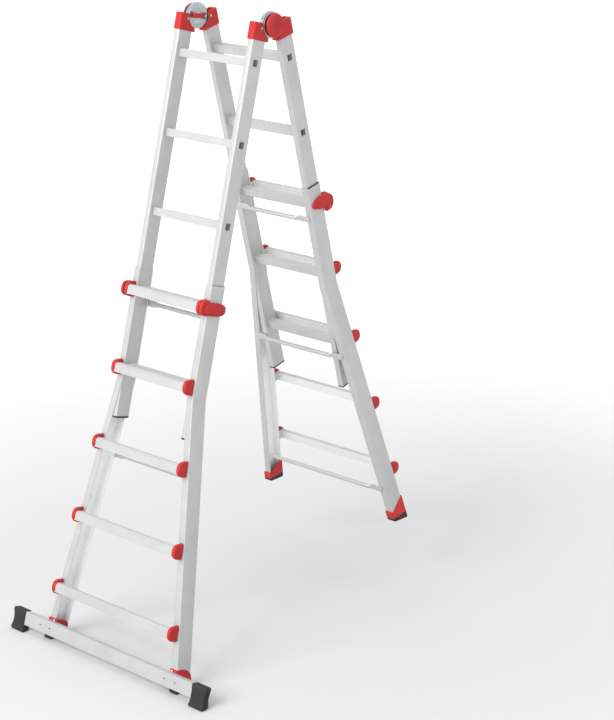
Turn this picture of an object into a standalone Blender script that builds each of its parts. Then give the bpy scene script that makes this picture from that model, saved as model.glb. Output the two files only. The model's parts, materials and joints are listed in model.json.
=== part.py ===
"""Telescopic multi position ladder, standing as a stepladder with its two sides at different lengths.

Two upper sections meet at a pair of disc hinges. Each upper section slides inside a wider lower
section, whose stiles flare out towards the feet. Spring levers on the top rung of each lower section
lock it to the upper one. All lengths are in metres, all angles in radians, +Z is up and X runs along
the rungs.

Each section is modelled in its own frame, with the hinge axis as its origin: x along the rungs, w
outwards from the plane through the hinge axis, and v down the stiles. A section frame's y is -w and
its z is -v.
"""
import math

import bmesh
import bpy
from mathutils import Matrix, Vector

OBJECT_NAME = "multi_position_ladder"

# Driving dimensions of the ladder.
RUNG_PITCH = 0.280
RUNGS = 5                       # rungs in each of the four sections
HINGE_TO_RUNG = 0.1377          # hinge axis to the first upper rung, along the stile
STILE_OFFSET = 0.0539           # hinge axis to the middle of the stiles, square to them
FRONT_LEAN = math.radians(14.88)
REAR_LEAN = math.radians(14.30)
FRONT_STEPS = 3                 # rungs by which the front side is drawn out
REAR_STEPS = 2                  # the same for the rear side, which stands higher
CLEARANCE = 0.0003              # smallest gap between two pieces

# Upper section: box stiles with square rungs through them.
INNER_HALF_WIDTH = 0.1868
INNER_STILE_WIDTH = 0.0245
INNER_STILE_DEPTH = 0.0624
INNER_WALL = 0.0020
INNER_STILE_TOP = 0.0060
INNER_STILE_END = 1.4390
INNER_RUNG_SIZE = 0.0280
INNER_RUNG_WALL = 0.0018
INNER_RUNG_PROUD = 0.0007       # the rung's end stands this far out of the stile

# Lower section: channel stiles, parallel at the top and flared below the bend.
OUTER_HALF_WIDTH = 0.1901
OUTER_STILE_WIDTH = 0.0290
OUTER_STILE_DEPTH = 0.0681
OUTER_WEB = 0.0018
OUTER_FLANGE = 0.0022
TOP_ABOVE_LEVER_RUNG = 0.0750
BEND_BELOW_LEVER_RUNG = 0.3256
FLARE = math.radians(8.46)
STILE_END_BELOW_LEVER_RUNG = 1.3000
FRONT_SOLE_THICKNESS = 0.0200    # the front soles are thicker: they stand beside the stabiliser bar
REAR_SOLE_THICKNESS = 0.0140

# Lower rungs, held in D-shaped ends on the front of the stiles.
RUNG_CENTRE_W = 0.0610
RUNG_CENTRE_DROP = 0.0025
RUNG_HEIGHT = 0.0340
RUNG_DEPTH = 0.0220
RUNG_WALL = 0.0018
DRAIN_RADIUS = 0.0025
CAP_HALF_HEIGHT = 0.0277
CAP_APEX_W = 0.0744
CAP_ARC_START_W = 0.0440
CAP_RECESS = 0.0050             # the end's outer face to the stile's outer face
CAP_LENGTH = 0.0200

# Braces: round tubes with flattened ends on the back of the stiles.
BRACE_RUNGS = (0, 2, 4)
BRACE_DROP = 0.0470
BRACE_RADIUS = 0.0080
BRACE_W = -0.0405
BRACE_PLATE_W = -0.0356
BRACE_PLATE_THICKNESS = 0.0024
BRACE_PLATE_HEIGHT = 0.0240
BRACE_OVERLAP = 0.0150          # how far a flattened end reaches over the stile's flange
BRACE_PLATE_LENGTH = 0.0500
BRACE_TAPER = 0.0160

# Hinges.
DISC_RADIUS = 0.0456
DISC_CLEAR_RADIUS = 0.0485
SHOE_TOP = 0.0005
SHOE_BOTTOM = 0.0605
SHOE_WALL = 0.0028
SHOE_LIP_W = 0.0110
SHOE_LIP_ANGLE = math.radians(15)
DISC_LAYERS = ((0.1670, 0.1710), (0.1716, 0.1766), (0.1772, 0.1812))
TONGUE_LENGTH = 0.1050
PIVOT_RADIUS = 0.0070
PIVOT_HEAD_RADIUS = 0.0110
COVER_RADIUS = 0.0470
COVER_SPAN = (0.1890, 0.2050)
RELEASE_PIN_SPACING = 0.0160
RELEASE_PIN_RADIUS = 0.0035
RELEASE_SPAN = (0.1490, 0.1632)
RELEASE_LENGTH = 0.0500
RELEASE_HEIGHT = 0.0220

# Lock levers.
LEVER_AXIS_W = 0.0720
LEVER_AXIS_X = 0.1915
LEVER_HUB_SPAN = (0.1870, 0.1965)
LEVER_GRIP_SPAN = (0.1906, 0.2055)
LEVER_END_W = -0.0400
LEVER_FRONT_W = 0.0660
LEVER_HALF_HEIGHT = 0.0235
LEVER_DROP = 0.0048
LOCK_PIN_RADIUS = 0.0080
LOCK_HOLE_RADIUS = 0.0095

# Feet and the stabiliser bar.
FOOT_WALL = 0.0030
FRONT_FOOT_HEIGHTS = (0.0750, 0.0520)   # over the sole, at the outer and the inner face of the ladder
REAR_FOOT_HEIGHTS = (0.0850, 0.0500)
BAR_HALF_LENGTH = 0.4700
BAR_SPAN_W = (0.0376, 0.0602)
BAR_HEIGHT = 0.0500
BAR_ABOVE_FOOT = 0.0640
BAR_WALL = 0.0020
BAR_CAP_SPAN_X = (0.4285, 0.4950)
BAR_CAP_SPAN_W = (0.0352, 0.0626)
BAR_CAP_RISE = 0.0028
BAR_CAP_WAIST = 0.0060
BAR_CAP_WAIST_DROP = 0.0450
BAR_CAP_TOE = 0.0035            # the end's front face comes this far forward at the floor

ARC_STEPS = 8
ROUND_SIDES = 32

SIDE_NAMES = {-1: "left", 1: "right"}

MATERIALS = {
    "aluminium": ((0.72, 0.73, 0.74), 0.35, 1.0),
    "red_plastic": ((0.62, 0.03, 0.03), 0.40, 0.0),
    "zinc_steel": ((0.48, 0.51, 0.54), 0.30, 1.0),
    "black_rubber": ((0.035, 0.036, 0.038), 0.70, 0.0),
}


def clear_scene():
    for item in list(bpy.data.objects):
        bpy.data.objects.remove(item, do_unlink=True)


def new_collection(name):
    collection = bpy.data.collections.new(name)
    bpy.context.scene.collection.children.link(collection)
    return collection


def new_material(node_name, kind):
    """Each object has a material of its own, made from one of the four kinds."""
    colour, roughness, metallic = MATERIALS[kind]
    material = bpy.data.materials.new(node_name + "_" + kind)
    material.use_nodes = True
    shader = material.node_tree.nodes["Principled BSDF"]
    shader.inputs["Base Color"].default_value = (*colour, 1.0)
    shader.inputs["Roughness"].default_value = roughness
    shader.inputs["Metallic"].default_value = metallic
    return material


class Frame:
    """An empty that carries pieces, and its origin in section coordinates."""

    def __init__(self, name, parent=None, origin=(0.0, 0.0, 0.0)):
        self.origin = Vector(origin)
        self.empty = bpy.data.objects.new(name, None)
        PARTS.objects.link(self.empty)
        if parent:
            self.empty.parent = parent.empty
            self.empty.location = self.origin - parent.origin


def section_point(x, w, v):
    return Vector((x, -w, -v))


def flat_mesh(outlines):
    """A flat, filled face from one closed outline, or from an outline and the holes in it."""
    curve = bpy.data.curves.new("outline", "CURVE")
    curve.dimensions = "2D"
    curve.fill_mode = "BOTH"
    for outline in outlines:
        spline = curve.splines.new("POLY")
        spline.points.add(len(outline) - 1)
        spline.use_cyclic_u = True
        for point, (across, along) in zip(spline.points, outline):
            point.co = (across, along, 0.0, 1.0)
    helper = bpy.data.objects.new("outline", curve)
    bpy.context.scene.collection.objects.link(helper)
    graph = bpy.context.evaluated_depsgraph_get()
    mesh = bpy.data.meshes.new_from_object(helper.evaluated_get(graph))
    bpy.data.objects.remove(helper, do_unlink=True)
    bpy.data.curves.remove(curve)
    return mesh


def swept(outlines, stations, turn=None):
    """The outline extruded through stations, each an (across, along, height) shift of the outline."""
    shape = bmesh.new()
    mesh = flat_mesh(outlines)
    shape.from_mesh(mesh)
    bpy.data.meshes.remove(mesh)
    bmesh.ops.remove_doubles(shape, verts=shape.verts, dist=1e-6)
    bmesh.ops.translate(shape, verts=shape.verts, vec=stations[0])
    faces = list(shape.faces)
    for number, (here, there) in enumerate(zip(stations, stations[1:])):
        grown = bmesh.ops.extrude_face_region(shape, geom=faces, use_keep_orig=True)["geom"]
        if number > 0:
            bmesh.ops.delete(shape, geom=faces, context="FACES_ONLY")
        moved = [item for item in grown if isinstance(item, bmesh.types.BMVert)]
        faces = [item for item in grown if isinstance(item, bmesh.types.BMFace)]
        bmesh.ops.translate(shape, verts=moved, vec=Vector(there) - Vector(here))
    if turn:
        bmesh.ops.transform(shape, matrix=turn, verts=shape.verts)
    bmesh.ops.recalc_face_normals(shape, faces=shape.faces)
    return shape


# An outline of (-w, -v) points, swept along x.
ALONG_X = Matrix(((0, 0, 1, 0), (1, 0, 0, 0), (0, 1, 0, 0), (0, 0, 0, 1)))
# An outline of (x, -v) points, swept along w.
ALONG_W = Matrix(((1, 0, 0, 0), (0, 0, -1, 0), (0, 1, 0, 0), (0, 0, 0, 1)))


def side_plate(outline_wv, span_x, side=1, holes=()):
    """A plate with its outline in w and v, between two values of x, mirrored for side -1."""
    outlines = [[(-w, -v) for w, v in outline] for outline in (outline_wv, *holes)]
    low, high = sorted((side * span_x[0], side * span_x[1]))
    return swept(outlines, [(0, 0, low), (0, 0, high)], ALONG_X)


def block(span_x, span_w, span_v, side=1):
    """A box given by its spans in x, w and v."""
    outline = [(span_w[0], span_v[0]), (span_w[1], span_v[0]), (span_w[1], span_v[1]), (span_w[0], span_v[1])]
    return side_plate(outline, span_x, side)


def rod(radius, span_x, w, v, side=1, sides=ROUND_SIDES, end_radius=None):
    """A round rod along x."""
    shape = bmesh.new()
    bmesh.ops.create_cone(shape, cap_ends=True, segments=sides, radius1=radius,
                          radius2=end_radius or radius, depth=span_x[1] - span_x[0])
    turn = Matrix.Rotation(side * math.pi / 2, 4, "Y")
    place = Matrix.Translation(section_point(side * (span_x[0] + span_x[1]) / 2, w, v))
    bmesh.ops.transform(shape, matrix=place @ turn, verts=shape.verts)
    return shape


def merged(shapes):
    """Several shapes that don't touch, as one mesh."""
    whole = bmesh.new()
    for shape in shapes:
        mesh = bpy.data.meshes.new("joined")
        shape.to_mesh(mesh)
        shape.free()
        whole.from_mesh(mesh)
        bpy.data.meshes.remove(mesh)
    return whole


def piece(name, shape, kind, frame, collection=None):
    """Makes an object from a shape in section coordinates and hangs it on a frame."""
    bmesh.ops.translate(shape, verts=shape.verts, vec=-frame.origin)
    mesh = bpy.data.meshes.new(name)
    shape.to_mesh(mesh)
    shape.free()
    made = bpy.data.objects.new(name, mesh)
    (collection or PARTS).objects.link(made)
    made.parent = frame.empty
    if kind:
        mesh.materials.append(new_material(name, kind))
        mesh.shade_smooth()
        mesh.set_sharp_from_angle(angle=math.radians(30))
    return made


def boolean(target, shape, frame, operation, label):
    helper = piece(target.name + "_" + label, shape, None, frame, CUTTERS)
    helper.hide_render = True
    helper.display_type = "WIRE"
    modifier = target.modifiers.new(label, "BOOLEAN")
    modifier.operation = operation
    modifier.object = helper


def cut(target, shape, frame, label):
    boolean(target, shape, frame, "DIFFERENCE", label)


def join(target, shape, frame, label):
    boolean(target, shape, frame, "UNION", label)


def chamfered_box(width, depth, chamfer, centre=(0.0, 0.0)):
    """Corner points of a rectangle with cut corners, anticlockwise."""
    half_width = width / 2
    half_depth = depth / 2
    points = []
    for sign_a, sign_b, first_along in ((1, 1, False), (-1, 1, True), (-1, -1, False), (1, -1, True)):
        across = (centre[0] + sign_a * (half_width - chamfer), centre[1] + sign_b * half_depth)
        along = (centre[0] + sign_a * half_width, centre[1] + sign_b * (half_depth - chamfer))
        points += [across, along] if first_along else [along, across]
    return points


def arc(centre, radius, start, end, steps=ARC_STEPS, squash=1.0):
    """Points (w, v) on an arc; the angle is measured from the v axis towards w."""
    points = []
    for step in range(steps + 1):
        angle = start + (end - start) * step / steps
        points.append((centre[0] + squash * radius * math.sin(angle), centre[1] + radius * math.cos(angle)))
    return points


def cap_outline(v, base_w, half_height=CAP_HALF_HEIGHT, apex_w=CAP_APEX_W):
    """The D of a rung end: flat against the stile, round in front."""
    middle = v + RUNG_CENTRE_DROP
    squash = (apex_w - CAP_ARC_START_W) / half_height
    nose = arc((CAP_ARC_START_W, middle), half_height, 0.0, math.pi, ARC_STEPS, squash)
    return [(base_w, middle - half_height), (base_w, middle + half_height), *nose]


def outer_half_width(below_lever_rung):
    """Half width over the lower stiles at a distance below the lever rung."""
    return OUTER_HALF_WIDTH + max(0.0, below_lever_rung - BEND_BELOW_LEVER_RUNG) * math.tan(FLARE)


def splay(shape, side, v_start):
    """Leans a shape outwards with the flared stile, from v_start down."""
    for vert in shape.verts:
        vert.co.x += side * (-vert.co.z - v_start) * math.tan(FLARE)
    return shape


# The upper sections.

def make_inner_stile(prefix, side, frame):
    centre_x = side * (INNER_HALF_WIDTH - INNER_STILE_WIDTH / 2)
    centre = (centre_x, -STILE_OFFSET)
    wall = chamfered_box(INNER_STILE_WIDTH, INNER_STILE_DEPTH, 0.0015, centre)
    inside = (INNER_STILE_WIDTH - 2 * INNER_WALL, INNER_STILE_DEPTH - 2 * INNER_WALL)
    hollow = chamfered_box(*inside, 0.0010, centre)
    shape = swept([wall, hollow], [(0, 0, -INNER_STILE_END), (0, 0, -INNER_STILE_TOP)])
    stile = piece(f"{prefix}_inner_stile_{SIDE_NAMES[side]}", shape, "aluminium", frame)
    reach = (INNER_HALF_WIDTH - INNER_STILE_WIDTH - 0.01, INNER_HALF_WIDTH + 0.01)
    half_hole = INNER_RUNG_SIZE / 2 + CLEARANCE
    holes = []
    for rung in range(RUNGS):
        v = HINGE_TO_RUNG + rung * RUNG_PITCH
        span_w = (STILE_OFFSET - half_hole, STILE_OFFSET + half_hole)
        holes.append(block(reach, span_w, (v - half_hole, v + half_hole), side))
    cut(stile, merged(holes), frame, "rung_holes")
    cut(stile, rod(DISC_CLEAR_RADIUS, reach, 0.0, 0.0, side, 48), frame, "disc_relief")


def make_inner_rung(prefix, rung, frame):
    v = HINGE_TO_RUNG + rung * RUNG_PITCH
    centre = (STILE_OFFSET, v)
    wall = chamfered_box(INNER_RUNG_SIZE, INNER_RUNG_SIZE, 0.0030, centre)
    inside = INNER_RUNG_SIZE - 2 * INNER_RUNG_WALL
    hollow = chamfered_box(inside, inside, 0.0020, centre)
    reach = INNER_HALF_WIDTH + INNER_RUNG_PROUD
    shape = side_plate(wall, (-reach, reach), 1, [hollow])
    piece(f"{prefix}_inner_rung_{rung + 1}", shape, "aluminium", frame)


def shoe_outline(relief_radius):
    """The hinge shoe from the side: square outside, hollowed round the hinge disc, pointed below it."""
    front_w = STILE_OFFSET + INNER_STILE_DEPTH / 2 + SHOE_WALL
    top_angle = math.acos(SHOE_TOP / relief_radius)
    relief = arc((0.0, 0.0), relief_radius, SHOE_LIP_ANGLE, top_angle, 12)
    return [(SHOE_LIP_W, SHOE_BOTTOM), *relief, (front_w, SHOE_TOP), (front_w, SHOE_BOTTOM)]


def make_shoe(prefix, side, frame, with_cover):
    inner_x = INNER_HALF_WIDTH - INNER_STILE_WIDTH - SHOE_WALL
    outer_x = INNER_HALF_WIDTH + SHOE_WALL
    shape = side_plate(shoe_outline(DISC_CLEAR_RADIUS), (inner_x, outer_x), side)
    shoe = piece(f"{prefix}_hinge_shoe_{SIDE_NAMES[side]}", shape, "red_plastic", frame)
    half_depth = INNER_STILE_DEPTH / 2 + CLEARANCE
    span_x = (INNER_HALF_WIDTH - INNER_STILE_WIDTH - CLEARANCE, INNER_HALF_WIDTH + CLEARANCE)
    span_w = (STILE_OFFSET - half_depth, STILE_OFFSET + half_depth)
    span_v = (INNER_STILE_TOP - CLEARANCE, SHOE_BOTTOM + 0.01)
    cut(shoe, block(span_x, span_w, span_v, side), frame, "stile_socket")
    if with_cover:
        bridge = side_plate(shoe_outline(COVER_RADIUS - 0.008), (outer_x - 0.0012, outer_x + 0.0030), side)
        join(shoe, bridge, frame, "cover_bridge")
        join(shoe, rod(COVER_RADIUS, COVER_SPAN, 0.0, 0.0, side, 48, COVER_RADIUS - 0.003), frame, "cover")


def tongue_outline():
    """The part of a hinge plate that is fixed inside the stile."""
    return [(0.030, TONGUE_LENGTH), (0.078, TONGUE_LENGTH), (0.078, 0.012), (0.042, 0.012), (0.030, 0.032)]


def bore(target, frame, side):
    cut(target, rod(PIVOT_RADIUS + CLEARANCE, (0.160, 0.190), 0.0, 0.0, side, 24), frame, "pivot_bore")


def make_fork_plate(prefix, side, frame):
    """The outer hinge plate: two discs, with the other plate's disc between them."""
    inner, middle, outer = DISC_LAYERS
    shape = side_plate(tongue_outline(), (inner[0], outer[1]), side)
    plate = piece(f"{prefix}_hinge_plate_{SIDE_NAMES[side]}", shape, "zinc_steel", frame)
    slot = rod(DISC_RADIUS + 0.001, (inner[1], outer[0]), 0.0, 0.0, side, 48)
    cut(plate, slot, frame, "disc_slot")
    discs = [rod(DISC_RADIUS, span, 0.0, 0.0, side, 48) for span in (inner, outer)]
    join(plate, merged(discs), frame, "discs")
    bore(plate, frame, side)
    pins = []
    for direction in (-1, 1):
        w, v = release_pin_place(direction)
        pins.append(rod(RELEASE_PIN_RADIUS + 0.0005, (inner[0] - 0.01, inner[1] + 0.0002), w, v, side, 16))
    cut(plate, merged(pins), frame, "release_holes")


def make_centre_plate(prefix, side, frame):
    """The inner hinge plate: one disc, which turns between the two of the fork."""
    inner, middle, outer = DISC_LAYERS
    span = (inner[0] + 0.002, outer[1] - 0.002)
    shape = side_plate(tongue_outline(), span, side)
    plate = piece(f"{prefix}_hinge_plate_{SIDE_NAMES[side]}", shape, "zinc_steel", frame)
    clear = DISC_RADIUS + 0.001
    reliefs = [
        rod(clear, (span[0] - 0.002, middle[0]), 0.0, 0.0, side, 48),
        rod(clear, (middle[1], span[1] + 0.002), 0.0, 0.0, side, 48),
    ]
    cut(plate, merged(reliefs), frame, "fork_reliefs")
    join(plate, rod(DISC_RADIUS, middle, 0.0, 0.0, side, 48), frame, "disc")
    bore(plate, frame, side)


def make_pivot(side, frame):
    inner, middle, outer = DISC_LAYERS
    shape = rod(PIVOT_RADIUS, (inner[0] - 0.002, outer[1] + 0.002), 0.0, 0.0, side, 24)
    pivot = piece(f"hinge_pivot_{SIDE_NAMES[side]}", shape, "zinc_steel", frame)
    heads = [
        rod(PIVOT_HEAD_RADIUS, (inner[0] - 0.003, inner[0] - CLEARANCE), 0.0, 0.0, side, 24),
        rod(PIVOT_HEAD_RADIUS, (outer[1] + CLEARANCE, outer[1] + 0.003), 0.0, 0.0, side, 24),
    ]
    join(pivot, merged(heads), frame, "heads")


def release_pin_place(direction):
    """Centre of a release pin: the pins lie level in the standing ladder, one each side of the pivot."""
    level = FRONT_LEAN
    reach = direction * RELEASE_PIN_SPACING
    return (reach * math.cos(level), reach * math.sin(level))


def rounded_bar(length, height, tilt, corner=0.008):
    """A bar outline in w and v with round corners, tilted about its middle."""
    points = []
    corners = ((1, 1, 0.0), (1, -1, math.pi / 2), (-1, -1, math.pi), (-1, 1, 1.5 * math.pi))
    for sign_w, sign_v, start in corners:
        centre = (sign_w * (length / 2 - corner), sign_v * (height / 2 - corner))
        points += arc(centre, corner, start, start + math.pi / 2, 4)
    cosine = math.cos(tilt)
    sine = math.sin(tilt)
    return [(w * cosine - v * sine, w * sine + v * cosine) for w, v in points]


def make_release(side, parent):
    """The hinge's release handle, which slides along x and carries the two lock pins."""
    frame = Frame(f"hinge_release_{SIDE_NAMES[side]}_frame", parent)
    outline = rounded_bar(RELEASE_LENGTH, RELEASE_HEIGHT, FRONT_LEAN)
    bar = side_plate(outline, RELEASE_SPAN, side)
    handle = piece(f"hinge_release_{SIDE_NAMES[side]}", bar, "red_plastic", frame)
    pins = []
    for direction in (-1, 1):
        w, v = release_pin_place(direction)
        reach = (RELEASE_SPAN[1] - 0.003, DISC_LAYERS[0][1] - 0.0008)
        pins.append(rod(RELEASE_PIN_RADIUS, reach, w, v, side, 16))
    join(handle, merged(pins), frame, "lock_pins")


def make_upper_section(prefix, frame, is_fork):
    for rung in range(RUNGS):
        make_inner_rung(prefix, rung, frame)
    for side in SIDE_NAMES:
        make_inner_stile(prefix, side, frame)
        make_shoe(prefix, side, frame, not is_fork)
        if is_fork:
            make_fork_plate(prefix, side, frame)
            make_pivot(side, frame)
            make_release(side, frame)
        else:
            make_centre_plate(prefix, side, frame)


# The lower sections.

def make_outer_stile(prefix, side, frame, lever_v):
    half_depth = OUTER_STILE_DEPTH / 2
    outer_x = OUTER_HALF_WIDTH
    mouth_x = OUTER_HALF_WIDTH - OUTER_STILE_WIDTH
    web_x = OUTER_HALF_WIDTH - OUTER_WEB
    inside = half_depth - OUTER_FLANGE
    corner = 0.0020
    channel = [
        (mouth_x, half_depth), (outer_x - corner, half_depth), (outer_x, half_depth - corner),
        (outer_x, corner - half_depth), (outer_x - corner, -half_depth), (mouth_x, -half_depth),
        (mouth_x, -inside), (web_x, -inside), (web_x, inside), (mouth_x, inside),
    ]
    outline = [(side * x, y - STILE_OFFSET) for x, y in channel]
    top = lever_v - TOP_ABOVE_LEVER_RUNG
    bend = lever_v + BEND_BELOW_LEVER_RUNG
    end = lever_v + STILE_END_BELOW_LEVER_RUNG - CLEARANCE
    shift = side * (end - bend) * math.tan(FLARE)
    shape = swept([outline], [(shift, 0, -end), (0, 0, -bend), (0, 0, -top)])
    stile = piece(f"{prefix}_outer_stile_{SIDE_NAMES[side]}", shape, "aluminium", frame)
    reach = (web_x - 0.01, outer_x + 0.01)
    cut(stile, rod(LOCK_HOLE_RADIUS, reach, STILE_OFFSET, lever_v, side, 20), frame, "lock_hole")


def lower_rung_outline(v, inset=0.0):
    """Rung profile in w and v: a box with a sloping upper front edge."""
    middle_w = STILE_OFFSET + RUNG_CENTRE_W
    middle_v = v + RUNG_CENTRE_DROP
    back = middle_w - RUNG_DEPTH / 2 + inset
    front = middle_w + RUNG_DEPTH / 2 - inset
    top = middle_v - RUNG_HEIGHT / 2 + inset
    bottom = middle_v + RUNG_HEIGHT / 2 - inset
    slope = 0.0060
    return [(back, bottom), (front - 0.002, bottom), (front, bottom - 0.003), (front, top + slope),
            (front - slope, top), (back, top)]


def make_outer_rung(prefix, rung, frame, lever_v):
    v = lever_v + rung * RUNG_PITCH
    half_width = outer_half_width(rung * RUNG_PITCH)
    cap_span = (half_width - CAP_RECESS - CAP_LENGTH, half_width - CAP_RECESS)
    reach = cap_span[1] - 0.003
    hollow = lower_rung_outline(v, RUNG_WALL)
    shape = side_plate(lower_rung_outline(v), (-reach, reach), 1, [hollow])
    made = piece(f"{prefix}_outer_rung_{rung + 1}", shape, "aluminium", frame)
    base_w = OUTER_STILE_DEPTH / 2 + CLEARANCE
    outline = [(STILE_OFFSET + w, height) for w, height in cap_outline(v, base_w)]
    join(made, merged([side_plate(outline, cap_span, side) for side in SIDE_NAMES]), frame, "ends")
    drain = bmesh.new()
    bmesh.ops.create_cone(drain, cap_ends=True, segments=12, radius1=DRAIN_RADIUS,
                          radius2=DRAIN_RADIUS, depth=0.01)
    underside = v + RUNG_CENTRE_DROP + RUNG_HEIGHT / 2
    spot = section_point(0.0, STILE_OFFSET + RUNG_CENTRE_W, underside)
    bmesh.ops.translate(drain, verts=drain.verts, vec=spot)
    cut(made, drain, frame, "drain")


def brace_ring(x, flatness):
    """A ring of the brace in y and z: round at flatness 0, a flat strip at 1."""
    half_width = BRACE_RADIUS + (BRACE_PLATE_HEIGHT / 2 - BRACE_RADIUS) * flatness
    half_thickness = BRACE_RADIUS + (BRACE_PLATE_THICKNESS / 2 - BRACE_RADIUS) * flatness
    middle_w = STILE_OFFSET + BRACE_W + (BRACE_PLATE_W - BRACE_W) * flatness
    sides = 12
    ring = []
    for step in range(sides):
        angle = 2 * math.pi * (step + 0.5) / sides
        ring.append(Vector((x, -middle_w - half_thickness * math.cos(angle), half_width * math.sin(angle))))
    return ring


def make_brace(prefix, number, rung, frame, lever_v):
    """A tube whose ends are squeezed flat: a loft through rings along x."""
    v = lever_v + rung * RUNG_PITCH + BRACE_DROP
    mouth = outer_half_width(rung * RUNG_PITCH + BRACE_DROP) - OUTER_STILE_WIDTH
    end = mouth + BRACE_OVERLAP
    flat = end - BRACE_PLATE_LENGTH
    stations = [(-end, 1), (-flat, 1), (BRACE_TAPER - flat, 0), (flat - BRACE_TAPER, 0), (flat, 1), (end, 1)]
    shape = bmesh.new()
    rings = []
    for x, flatness in stations:
        rings.append([shape.verts.new(point + Vector((0, 0, -v))) for point in brace_ring(x, flatness)])
    for ring, following in zip(rings, rings[1:]):
        for index in range(len(ring)):
            after = (index + 1) % len(ring)
            shape.faces.new((ring[index], ring[after], following[after], following[index]))
    shape.faces.new(rings[0])
    shape.faces.new(rings[-1])
    bmesh.ops.recalc_face_normals(shape, faces=shape.faces)
    piece(f"{prefix}_brace_{number}", shape, "aluminium", frame)


def make_lever(prefix, side, parent, lever_v):
    """Lock lever: a hub on the rung's end, a grip along the stile and a pin towards the stile's hole."""
    axis = section_point(side * LEVER_AXIS_X, STILE_OFFSET + LEVER_AXIS_W, lever_v)
    frame = Frame(f"{prefix}_lever_{SIDE_NAMES[side]}_frame", parent, axis)
    middle_w = (LEVER_END_W + LEVER_FRONT_W) / 2
    bar = rounded_bar(LEVER_FRONT_W - LEVER_END_W, 2 * LEVER_HALF_HEIGHT, 0.0, 0.016)
    grip = [(STILE_OFFSET + middle_w + w, lever_v + LEVER_DROP + height) for w, height in bar]
    plate = side_plate(grip, LEVER_GRIP_SPAN, side)
    lever = piece(f"{prefix}_lever_{SIDE_NAMES[side]}", plate, "red_plastic", frame)
    base_w = OUTER_STILE_DEPTH / 2 + 0.0008
    hub = [(STILE_OFFSET + w, height) for w, height in cap_outline(lever_v, base_w)]
    join(lever, side_plate(hub, LEVER_HUB_SPAN, side), frame, "hub")
    pin_span = (OUTER_HALF_WIDTH - OUTER_WEB, LEVER_GRIP_SPAN[0] + 0.003)
    join(lever, rod(LOCK_PIN_RADIUS, pin_span, STILE_OFFSET, lever_v, side, 20), frame, "lock_pin")


def floor_v(foot_v, lean, w):
    """Distance down the stile at which the sole's plane lies, at a distance w out of the stiles' middle."""
    return foot_v + w * math.tan(lean)


def make_foot(prefix, side, frame, lever_v, lean, heights, sole):
    """The shoe on a stile's end, with a sole that lies level when the ladder stands."""
    foot_v = lever_v + STILE_END_BELOW_LEVER_RUNG + sole
    bend_v = lever_v + BEND_BELOW_LEVER_RUNG
    half_depth = OUTER_STILE_DEPTH / 2
    outside = half_depth + FOOT_WALL
    outline = [
        (-outside, foot_v - heights[1]), (outside, foot_v - heights[0]),
        (outside, floor_v(foot_v, lean, outside)), (-outside, floor_v(foot_v, lean, -outside)),
    ]
    outline = [(STILE_OFFSET + w, v) for w, v in outline]
    mouth_x = OUTER_HALF_WIDTH - OUTER_STILE_WIDTH
    span_x = (mouth_x - FOOT_WALL, OUTER_HALF_WIDTH + FOOT_WALL)
    shape = splay(side_plate(outline, span_x, side), side, bend_v)
    foot = piece(f"{prefix}_foot_{SIDE_NAMES[side]}", shape, "red_plastic", frame)
    span_x = (mouth_x - CLEARANCE, OUTER_HALF_WIDTH + CLEARANCE)
    span_w = (STILE_OFFSET - half_depth - CLEARANCE, STILE_OFFSET + half_depth + CLEARANCE)
    span_v = (foot_v - heights[0] - 0.02, foot_v - sole)
    cut(foot, splay(block(span_x, span_w, span_v, side), side, bend_v), frame, "stile_socket")


def make_bar(frame, foot_v):
    top = foot_v - BAR_ABOVE_FOOT
    bottom = top + BAR_HEIGHT
    low_w, high_w = (STILE_OFFSET + w for w in BAR_SPAN_W)
    outer = [(low_w, top), (high_w, top), (high_w, bottom), (low_w, bottom)]
    wall = BAR_WALL
    inner = [(low_w + wall, top + wall), (high_w - wall, top + wall), (high_w - wall, bottom - wall),
             (low_w + wall, bottom - wall)]
    shape = side_plate(outer, (-BAR_HALF_LENGTH, BAR_HALF_LENGTH), 1, [inner])
    piece("stabiliser_bar", shape, "aluminium", frame)


def make_bar_cap(side, frame, foot_v):
    """Rubber end of the stabiliser bar: a waisted block that stands on the floor and widens towards it."""
    top = foot_v - BAR_ABOVE_FOOT - BAR_CAP_RISE
    near_x, far_x = BAR_CAP_SPAN_X
    middle = top + BAR_CAP_WAIST_DROP
    low = foot_v + 0.010
    outline = [(near_x, top), (far_x - 0.002, top), (far_x, top + 0.002), (far_x - BAR_CAP_WAIST, middle),
               (far_x, low), (near_x - 0.002, low), (near_x, middle)]
    outline = [(side * x, -v) for x, v in outline]
    low_w, high_w = (STILE_OFFSET + w for w in BAR_CAP_SPAN_W)
    shape = swept([outline], [(0, 0, low_w), (0, 0, high_w)], ALONG_W)
    for vert in shape.verts:
        if abs(-vert.co.z - low) < 1e-5:
            if abs(-vert.co.y - high_w) < 1e-5:
                vert.co.y -= BAR_CAP_TOE
            vert.co.z = -floor_v(foot_v, FRONT_LEAN, -vert.co.y - STILE_OFFSET)
    cap = piece(f"stabiliser_cap_{SIDE_NAMES[side]}", shape, "black_rubber", frame)
    gap = CLEARANCE
    bar_top = foot_v - BAR_ABOVE_FOOT
    span_w = (STILE_OFFSET + BAR_SPAN_W[0] - gap, STILE_OFFSET + BAR_SPAN_W[1] + gap)
    span_v = (bar_top - gap, bar_top + BAR_HEIGHT + gap)
    cut(cap, block((near_x - 0.02, BAR_HALF_LENGTH + gap), span_w, span_v, side), frame, "bar_socket")


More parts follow.
